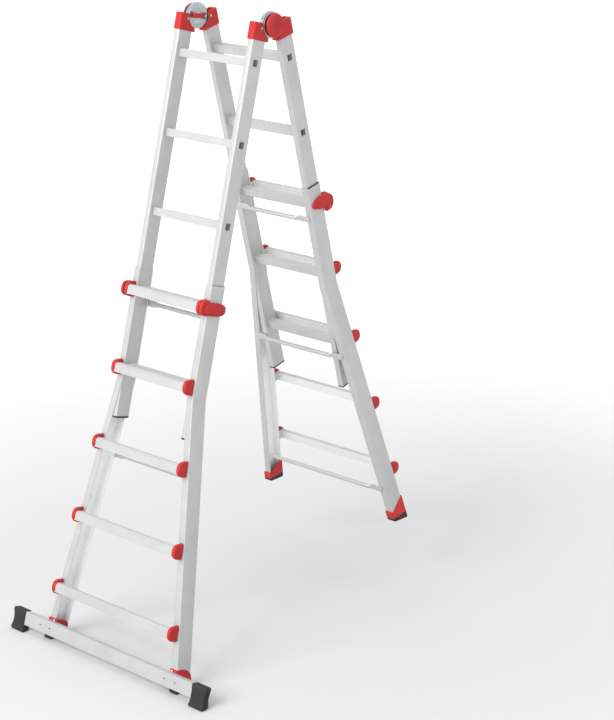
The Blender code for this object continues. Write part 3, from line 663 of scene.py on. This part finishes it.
def release(section, side):
    """Release handle: a waisted red bow across the disc, with two lock pins and a black catch."""
    name = f"hinge_release_{SIDES[side]}"
    tilt = 0.45 * LEAN[section.prefix]
    outline = []
    half_length, waist, spread, shift = 0.0248, 0.0082, 0.0034, 0.0070
    for step in range(56):
        angle = 2 * math.pi * step / 56
        a = signed_power(math.cos(angle), 0.5) * half_length
        half_height = waist + spread * (abs(a) / half_length) ** 2
        b = signed_power(math.sin(angle), 0.55) * half_height
        outline.append(Matrix.Rotation(tilt, 2) @ Vector((a + shift, b)))
    bow = domed(outline, [(0.1626, 0.0004), (0.1618, 0.0), (0.1570, 0.0), (0.1552, 0.0008), (0.1542, 0.0022),
                          (0.1538, 0.0040)], side)
    place("look_" + name, bow, RED, section, name, [name], 0.0004)
    pins = []
    for direction in (-1, 1):
        spot = Matrix.Rotation(LEAN[section.prefix], 2) @ Vector((direction * 0.016, 0.0))
        pins.append(prism(circle(0.0035, spot, 20), 0.1610, 0.1702, side))
    place(f"release_pins_{SIDES[side]}", joined(pins), RIVET, section, name, (), 0.0003)
    middle = Matrix.Rotation(tilt, 2) @ Vector((-0.0262, 0.0))
    hook = []
    for radius, order in ((0.0112, 1), (0.0066, -1)):
        turns = [math.radians(angle) for angle in range(-118, 119, 12)][::order]
        hook += [middle + Vector((radius * 0.72 * math.cos(angle), radius * math.sin(angle)))
                 for angle in turns]
    catch = domed(hook, [(0.1640, 0.0004), (0.1636, 0.0), (0.1566, 0.0), (0.1560, 0.0006)], side)
    place(f"release_catch_{SIDES[side]}", catch, BLACK, section, name)


# Lower sections.

def channel_outline(side):
    """The lower stile's section in x and w: a channel with ribs inside and grooves on its flanges."""
    half = OUTER_DEPTH / 2
    mouth = OUTER_HALF - OUTER_WIDTH
    web = OUTER_HALF - CHANNEL_WEB
    crest = web - CHANNEL_RIB_RISE
    inside = half - CHANNEL_FLANGE
    outline = [(mouth, -half), (OUTER_HALF, -half), (OUTER_HALF, half), (mouth, half), (mouth, inside),
               (web, inside)]
    radii = [0.0006, 0.0030, 0.0030, 0.0006, 0.0005, 0.0008]
    for middle in CHANNEL_RIB_MIDDLES:
        outline += [(web, middle + 0.0026), (crest, middle + 0.0020), (crest, middle - 0.0020),
                    (web, middle - 0.0026)]
        radii += [0.0] * 4
    outline += [(web, -inside), (mouth, -inside)]
    radii += [0.0008, 0.0005]
    outline = rounded(outline, radii, 3)
    made = []
    for index, point in enumerate(outline):
        made.append(point)
        after = outline[(index + 1) % len(outline)]
        level = abs(point.y) > half - 1e-6 and abs(after.y - point.y) < 1e-6
        if level and abs(after.x - point.x) > 0.015:
            inward = Vector((0.0, -math.copysign(0.0007, point.y)))
            along = (after - point).normalized() * 0.0010
            for share in (0.24, 0.76):
                spot = point.lerp(after, share)
                made += [spot - along, spot - along / 2 + inward, spot + along / 2 + inward, spot + along]
    return [(side * point.x, OFFSET + point.y) for point in made]


def outer_stile(section, side):
    """A lower stile: a channel, bent outwards below its second rung, with the black lip on its top."""
    name = f"{section.prefix}_outer_stile_{SIDES[side]}"
    outline = channel_outline(side)
    top = section.lever_v - TOP_ABOVE
    end = section.end_v - 0.0006
    shift = side * (end - section.bend_v) * math.tan(FLARE)
    bend = 0.006
    after_bend = side * bend * math.tan(FLARE)
    rings = [down_ring(outline, top), down_ring(outline, section.bend_v - bend),
             down_ring(outline, section.bend_v, after_bend * 0.175),
             down_ring(outline, section.bend_v + bend, after_bend), down_ring(outline, end, shift)]
    spot = (OFFSET, section.lever_v)
    hole = prism(circle(PIN_HOLE_RADIUS, spot, 28), OUTER_HALF - 0.01, OUTER_HALF + 0.01, side)
    made = place("look_" + name, loft(rings), ALU_STILES[section.prefix], section, section.lower, [name],
                 0.0003, 1, [hole])

    # The faces inside the channel, which get the lighter copy of the aluminium: painted light in the
    # channel's shade.
    def inside(centre, normal):
        under_web = abs(centre.x) < section.half_width(centre.z) - 0.0010
        between_flanges = abs(centre.y - OFFSET) < OUTER_DEPTH / 2 - 0.0015
        return under_web and between_flanges and abs(normal.z) < 0.5

    repaint(made, section, PAINTED_LIGHT_ALU_INSIDE[section.prefix], inside)
    proud, rise, drop = GUIDE_LIP[section.prefix]
    low, high = OUTER_HALF - 0.0016, OUTER_HALF + proud
    lip = rounded(rectangle(high - low, OUTER_DEPTH - 0.0080, (side * (low + high) / 2, OFFSET)), 0.0003, 2)
    strip = loft([down_ring(lip, top - rise), down_ring(lip, top + drop)])
    place(f"{section.prefix}_guide_lip_{SIDES[side]}", strip, BLACK, section, section.lower, (), 0.0002)


def rung_outline(v):
    """Lower rung profile in w and v: a box with a sloped, ribbed tread."""
    front = OFFSET + RUNG_W + RUNG_HALF_DEPTH
    top = v + RUNG_DROP - RUNG_HALF_HEIGHT
    bottom = v + RUNG_DROP + RUNG_HALF_HEIGHT
    corners = anticlockwise([(RUNG_BACK, top), (front - 0.0070, top), (front, top + 0.0075),
                             (front, bottom), (RUNG_BACK, bottom)])
    tread = edge_where(corners, lambda point: point[1] == top)
    return grooved(corners, {tread: (0.18, 0.38, 0.58, 0.78)}, 0.0018, 0.0007)


def outer_rung(section, rung):
    """A lower rung, with a block behind each end that covers the red cap between the rung and the stile."""
    name = f"{section.prefix}_outer_rung_{rung + 1}"
    v = section.lever_v + rung * PITCH
    half = section.half_width(v)
    reach = half - 0.0130
    shapes = [prism(rung_outline(v), -reach, reach)]
    block = rectangle(0.0155, 0.0310, (RUNG_BACK - 0.0075, v + RUNG_DROP))
    for side in SIDES:
        shapes.append(prism(block, half - 0.0228, half - 0.0140, side))
    made = place("look_" + name, joined(shapes), ALU_RUNG, section, section.lower, [name], 0.0009, 3)
    # The rung's back faces, in the shade of the inner rung, get the lighter copy of the aluminium: painted
    # light.
    repaint(made, section, PAINTED_LIGHT_ALU_RUNG_BACK, lambda centre, normal: centre.y < RUNG_BACK + 0.0003)


def cap_outline(v, half_height=0.0277, apex=0.0762, base=OUTER_DEPTH / 2 + 0.0003, power=2.6):
    """A D in w and v: flat against the stile and round outwards, fuller the higher the power."""
    middle = v + RUNG_DROP
    curve = 0.0440
    outline = [Vector((OFFSET + base, middle - half_height)), Vector((OFFSET + base, middle + half_height))]
    for step in range(33):
        angle = math.pi * step / 32
        out = math.sin(angle) ** (2 / power)
        down = signed_power(math.cos(angle), 2 / power)
        outline.append(Vector((OFFSET + curve + (apex - curve) * out, middle + half_height * down)))
    return anticlockwise(outline)


def rung_caps(section, rung):
    """Red rung ends: a D-shaped block with rounded edges and a lug at the top."""
    v = section.lever_v + rung * PITCH
    half = section.half_width(v)
    for side in SIDES:
        far = half - 0.0050
        near = far - 0.0200
        outline = cap_outline(v) if section.prefix == "front" else cap_outline(v - 0.0030, 0.0245)
        plate = domed(outline, [(near + 0.0040, 0.0034), (near + 0.0048, 0.0020), (near + 0.0066, 0.0008),
                                (near + 0.0100, 0.0), (far - 0.0034, 0.0), (far - 0.0014, 0.0007),
                                (far - 0.0004, 0.0022), (far, 0.0046)], side)
        lug = rounded(rectangle(0.0070, 0.0090, (OFFSET + 0.0390, v + RUNG_DROP - 0.0247)), 0.0020, 3)
        lug = domed(lug, [(far - 0.0130, 0.0006), (far - 0.0122, 0.0), (far - 0.0068, 0.0),
                          (far - 0.0060, 0.0006)], side)
        place(f"{section.prefix}_rung_{rung + 1}_cap_{SIDES[side]}", joined([plate, lug]), RED, section,
              section.lower, (), 0.0004)


def brace(section, number, rung):
    """Round tube squeezed flat at its ends and riveted to the stiles."""
    name = f"{section.prefix}_brace_{number}"
    v = section.lever_v + rung * PITCH + BRACE_DROP
    mouth = section.half_width(v) - OUTER_WIDTH
    end = mouth + 0.0146
    flat = end - 0.0480
    tube, flat_tall, flat_thick = 0.0080, 0.0120, 0.0012       # half sizes
    # Each station has its x, how flat the tube is there and the share of its full height.
    stations = [(end, 1.0, 0.80), (end - 0.004, 1.0, 1.0), (flat, 1.0, 1.0), (flat - 0.004, 0.86, 0.97),
                (flat - 0.009, 0.45, 0.80), (flat - 0.014, 0.10, 0.72), (flat - 0.018, 0.0, 0.70)]
    rings = []
    for direction in (-1, 1):
        side_rings = []
        for x, flatness, height in stations:
            tall = tube + (flat_tall * height - tube) * flatness
            thick = tube + (flat_thick - tube) * flatness
            middle = OFFSET - 0.0405 + 0.0049 * flatness
            ring = []
            for step in range(24):
                angle = 2 * math.pi * (step + 0.5) / 24
                spot = (direction * x, middle + thick * math.cos(angle), v + tall * math.sin(angle))
                ring.append(Vector(spot))
            side_rings.append(ring)
        rings += side_rings if direction < 0 else side_rings[::-1]
    place("look_" + name, loft(rings), ALU_RUNG, section, section.lower, [name])
    heads = []
    for direction in (-1, 1):
        spot = (direction * (mouth + 0.0078), OFFSET - 0.0368, v)
        heads.append(button(spot, (0, -1, 0), 0.0045, 0.0020))
    place(f"{section.prefix}_brace_{number}_rivets", joined(heads), ALU_RUNG, section, section.lower)


def lever(section, side):
    """Lock lever: a D-shaped hub on the rung's end, a grip across the stile and a steel pin."""
    name = f"{section.prefix}_lever_{SIDES[side]}"
    v = section.lever_v
    base = OUTER_DEPTH / 2 + 0.0014
    # The grip tapers in height and thins towards its tip.
    if section.prefix == "front":
        outline, crown = cap_outline(v, 0.0275, 0.0772, base), 0.1986
        tip, root, half_height, drop = -0.0440, 0.0580, 0.0232, 0.0062
        taper, thinning = 0.0, 0.10
    else:
        outline, crown = cap_outline(v + 0.0050, 0.0320, 0.0760, base, 2.1), 0.2052
        tip, root, half_height, drop = -0.0260, 0.0420, 0.0215, -0.0020
        taper, thinning = 0.40, 0.45
    hub = domed(outline, [(0.1872, 0.0008), (0.1880, 0.0), (crown - 0.0030, 0.0), (crown - 0.0012, 0.0009),
                          (crown - 0.0002, 0.0026), (crown, 0.0048)], side)
    length = root - tip
    centre = (OFFSET + (tip + root) / 2, v + drop)
    outline = anticlockwise(lobe(length / 2, half_height, centre))
    for point in outline:
        if taper:
            point.y = centre[1] + (point.y - centre[1]) * (1.0 + taper * (point.x - centre[0]) / length * 2)
    grip_inside = 0.1906
    grip = domed(outline, [(grip_inside, 0.0010), (0.1914, 0.0), (0.1988, 0.0), (0.2018, 0.0008),
                           (0.2036, 0.0026), (0.2047, 0.0056), (0.2053, 0.0100)], side)
    for vert in grip.verts:
        thick = abs(vert.co.x) - grip_inside
        share = min(1.0, max(0.0, (OFFSET + root - vert.co.y) / length))
        vert.co.x -= side * thick * thinning * share ** 1.5
    place("look_" + name, joined([hub, grip]), RED, section, name, [name], 0.0004)
    pin = prism(circle(0.0080, (OFFSET, v), 28), OUTER_HALF - CHANNEL_WEB, 0.1930, side)
    place(f"{name}_pin", pin, RIVET, section, name, (), 0.0004)


def crescent(peak, end, reach):
    """Top edge of the front shoe's sides in w and height: nearly level in front, rounded off at the back."""
    crest = 0.3
    points = []
    for step in range(19):
        share = step / 18
        if share < crest:
            height = peak - 0.0030 * ((crest - share) / crest) ** 2
        else:
            height = end + (peak - end) * math.sqrt(max(0.0, 1.0 - ((share - crest) / (1.0 - crest)) ** 2))
        points.append((reach - 2 * reach * share, height))
    return points


def foot(section, side):
    """Foot: a red shoe round the stile's end, over a ribbed black sole."""
    name = f"{section.prefix}_foot_{SIDES[side]}"
    reach = OUTER_DEPTH / 2 + FOOT_WALL
    mouth = OUTER_HALF - OUTER_WIDTH
    # tab is the height of the wall that faces outwards. thin and thick are how high the shoe's sides end
    # above the floor at the inward and at the outward edge.
    if section.prefix == "front":
        outer_top = crescent(0.0762, 0.0430, reach)
        inner_top = crescent(0.0690, 0.0380, reach)
        tab = 0.0745
        thin, thick = 0.0160, 0.0210
    else:
        outer_top = [(reach, 0.0850), (reach - 0.0010, 0.0850), (-reach + 0.0060, 0.0470), (-reach, 0.0500)]
        inner_top = outer_top
        tab = 0.0850
        thin, thick = 0.0120, 0.0240
    low = [(-reach, section.sole_v(-reach) - thin), (reach, section.sole_v(reach) - thick)]
    shells = []
    outer_face, inner_face = OUTER_HALF + FOOT_WALL, mouth - FOOT_WALL
    for top, levels in (
            (outer_top, [(OUTER_HALF - 0.0008, 0.0), (outer_face - 0.0010, 0.0), (outer_face, 0.0010)]),
            (inner_top, [(inner_face, 0.0010), (inner_face + 0.0010, 0.0), (mouth, 0.0)])):
        outline = anticlockwise([(OFFSET + w, section.foot_v - rise) for w, rise in top]
                                + [(OFFSET + w, level) for w, level in low])
        shells.append(domed(outline, levels, side))
    for sign in (1, -1):
        rise = tab if sign > 0 else inner_top[-1][1]
        inner_w, outer_w = sorted((OFFSET + sign * (OUTER_DEPTH / 2 + 0.0002), OFFSET + sign * reach))
        wall = [(inner_w, section.foot_v - rise), (outer_w, section.foot_v - rise),
                (outer_w, section.sole_v(outer_w - OFFSET) - thin),
                (inner_w, section.sole_v(inner_w - OFFSET) - thin)]
        shells.append(prism(wall, mouth - 0.0020, OUTER_HALF + 0.0020, side))
    shell = splayed(joined(shells), side, section.bend_v)
    place("look_" + name, shell, RED, section, section.lower, [name], 0.0005)
    wide = reach - 0.0004
    corners = [(-wide, section.sole_v(-wide) - thin - 0.0002), (wide, section.sole_v(wide) - thick - 0.0002),
               (wide, section.sole_v(wide) - 0.0040), (wide - 0.0040, section.sole_v(wide - 0.0040)),
               (-wide + 0.0040, section.sole_v(-wide + 0.0040)), (-wide, section.sole_v(-wide) - 0.0030)]
    corners = anticlockwise([(OFFSET + w, level) for w, level in corners])
    tread = edge_where(corners, lambda point: abs(point[1] - section.sole_v(point[0] - OFFSET)) < 1e-6)
    outline = grooved(corners, {tread: (0.12, 0.28, 0.44, 0.60, 0.76, 0.90)}, 0.0036, 0.0020)
    sole_shape = splayed(prism(outline, mouth - 0.0026, OUTER_HALF + 0.0026, side), side, section.bend_v)
    place(f"{section.prefix}_sole_{SIDES[side]}", sole_shape, RUBBER, section, section.lower, (), 0.0006)
    level = section.foot_v - tab + 0.0085
    across = section.half_width(level) - (0.0245 if section.prefix == "front" else 0.0150)
    head = button((side * across, OFFSET + reach, level), (0, 1, 0), 0.0040, 0.0014)
    place(f"{section.prefix}_foot_rivet_{SIDES[side]}", head, RIVET, section, section.lower)


def stabiliser(section):
    """Bar across the front feet: a box extrusion with faint face lines, washered rivets and waisted ends."""
    top = section.foot_v - BAR_ABOVE_FOOT
    bottom = top + BAR_HEIGHT
    low, high = (OFFSET + w for w in BAR_SPAN_W)
    corners = anticlockwise([(low, top), (high, top), (high, bottom), (low, bottom)])
    face = edge_where(corners, lambda point: point[0] == high)
    outer = grooved(corners, {face: (0.13, 0.87)}, 0.0016, 0.0004)
    place("look_stabiliser_bar", prism(outer, -BAR_HALF, BAR_HALF), ALU_RUNG, section, section.lower,
          ["stabiliser_bar"], 0.0016, 3)
    spots = [(side * x, high, top + BAR_RIVET_DROP) for side in SIDES for x in BAR_RIVETS_X]
    heads = [washer(spot, (0, 1, 0), 0.0066, 0.0030, 0.0010) for spot in spots]
    place("stabiliser_rivets", joined(heads), ALU_RUNG, section, section.lower)
    # Black domes in the rivets' bores: painted shade in the hollows.
    painted_shade_bores = [button(spot, (0, 1, 0), 0.0024, 0.0012) for spot in spots]
    place("stabiliser_rivet_bores_painted_shade", joined(painted_shade_bores), BLACK, section, section.lower)
    for side in SIDES:
        stabiliser_cap(section, side, top)


def stabiliser_cap(section, side, bar_top):
    """Rubber end: waisted on its outer sides, wider and rounded at the floor."""
    name = f"stabiliser_cap_{SIDES[side]}"
    near, far = CAP_SPAN_X
    back, front = (OFFSET + w for w in CAP_SPAN_W)
    top = bar_top - 0.0026
    rings = []
    # Each level has its drop, how far the outer side is drawn in and how far the front stands out.
    profile = [(0.0, 0.0030, 0.0), (0.0022, 0.0004, 0.0), (0.0100, 0.0, 0.0), (0.0240, 0.0026, 0.0),
               (0.0360, 0.0040, 0.0), (0.0460, 0.0040, 0.0003), (0.0560, 0.0024, 0.0012),
               (0.0640, 0.0008, 0.0024), (0.0700, 0.0002, 0.0032), (0.0750, 0.0016, 0.0030),
               (0.0784, 0.0050, 0.0)]
    total = profile[-1][0]
    for drop, pull, toe in profile:
        ring = []
        lap = 0.0018 if drop > 0.066 else 0.0
        low_x, high_x = near - lap + min(pull, 0.0008), far - pull
        high_w = front - min(pull, 0.0018) + toe
        outline = rounded([(low_x, back), (high_x, back), (high_x, high_w), (low_x, high_w)],
                          [0.0006, 0.0030, 0.0045, 0.0006], 4)
        for x, w in outline:
            level = top + drop / total * (section.sole_v(w - OFFSET) - top)
            ring.append(Vector((side * x, w, level)))
        rings.append(ring)
    place("look_" + name, loft(rings), RUBBER, section, section.lower, [name], 0.0004)


def build():
    """Makes every piece of the ladder and returns the place of the hinge axis."""
    sections = {prefix: Section(prefix) for prefix in STEPS}
    for prefix, section in sections.items():
        for rung in range(RUNGS):
            inner_rung(section, rung)
            outer_rung(section, rung)
            rung_caps(section, rung)
        for number, rung in enumerate(BRACE_RUNGS, start=1):
            brace(section, number, rung)
        for side in SIDES:
            inner_stile(section, side)
            glide(section, side)
            shoe(section, side)
            outer_stile(section, side)
            lever(section, side)
            foot(section, side)
    front, rear = sections["front"], sections["rear"]
    for side in SIDES:
        hinge_plates(front, rear, side)
        pivot(front, side)
        release(front, side)
        cover(rear, side)
    stabiliser(front)
    return Vector(front.matrix.translation)


# Surroundings.

def floor():
    """A pale floor that glows more the further it is from the ladder, so that it fades into the backdrop."""
    half_size = 60.0
    glow_from, glow_to, glow_most = 0.6, 6.0, 0.60
    material = bpy.data.materials.new("studio_floor")
    nodes, links, shader = links_of(material)
    haze = stretched_noise(nodes, links, 0.6, 3.0, (1.0, 1.0, 1.0))
    grey = between(nodes, links, haze, (0.570, 0.570, 0.570), (0.585, 0.585, 0.585))
    links.new(grey, shader.inputs["Base Color"])
    shader.inputs["Roughness"].default_value = 0.8
    shader.inputs["Specular IOR Level"].default_value = 0.1
    shader.inputs["Emission Color"].default_value = (1.0, 1.0, 1.0, 1.0)
    spot = nodes.new("ShaderNodeTexCoord")
    reach = nodes.new("ShaderNodeVectorMath")
    reach.operation = "LENGTH"
    links.new(spot.outputs["Object"], reach.inputs[0])
    glow = nodes.new("ShaderNodeMapRange")
    glow.interpolation_type = "SMOOTHSTEP"
    glow.inputs["From Min"].default_value = glow_from
    glow.inputs["From Max"].default_value = glow_to
    glow.inputs["To Max"].default_value = glow_most
    links.new(reach.outputs["Value"], glow.inputs["Value"])
    links.new(glow.outputs["Result"], shader.inputs["Emission Strength"])
    shape = bmesh.new()
    bmesh.ops.create_grid(shape, x_segments=2, y_segments=2, size=half_size)
    mesh = bpy.data.meshes.new("studio_floor")
    shape.to_mesh(mesh)
    shape.free()
    mesh.materials.append(material)
    made = bpy.data.objects.new("studio_floor", mesh)
    made.location = (0.0, 0.0, -0.0002)
    bpy.context.scene.collection.objects.link(made)


def aimed(name, data, eye, target):
    """A light or camera at eye, pointed at the target."""
    made = bpy.data.objects.new(name, data)
    made.location = eye
    made.rotation_euler = (Vector(target) - Vector(eye)).to_track_quat("-Z", "Y").to_euler()
    bpy.context.scene.collection.objects.link(made)
    return made


def area_light(name, eye, target, size, power):
    data = bpy.data.lights.new(name, "AREA")
    data.shape = "DISK"
    data.size = size
    data.energy = power
    aimed(name, data, eye, target)


def studio():
    """A white room with two large lights: one above, and one in front that doesn't mirror in the stiles."""
    world = bpy.data.worlds.new("studio")
    world.use_nodes = True
    world.node_tree.nodes["Background"].inputs["Color"].default_value = (1.0, 1.0, 1.0, 1.0)
    world.node_tree.nodes["Background"].inputs["Strength"].default_value = 0.86
    bpy.context.scene.world = world
    bpy.context.scene.view_settings.view_transform = "Standard"
    area_light("key", (-0.6, -10.2, 7.6), (0.0, 0.0, 1.0), 8.0, 1280.0)
    area_light("top", (0.0, 0.0, 10.0), (0.0, 0.0, 1.0), 16.0, 330.0)


def camera(hinge):
    """The photo's view: a camera fitted to the rung ends, feet and bar, placed from the hinge axis."""
    data = bpy.data.cameras.new("camera")
    data.lens = 98.1
    data.sensor_width = 36.0
    data.clip_start = 0.1
    data.clip_end = 200.0
    eye = hinge + Vector((4.697, -4.919, 0.968))
    target = hinge + Vector((0.4876, -0.1648, -1.0878))
    bpy.context.scene.camera = aimed("camera", data, eye, target)


hinge_point = build()
floor()
studio()
camera(hinge_point)
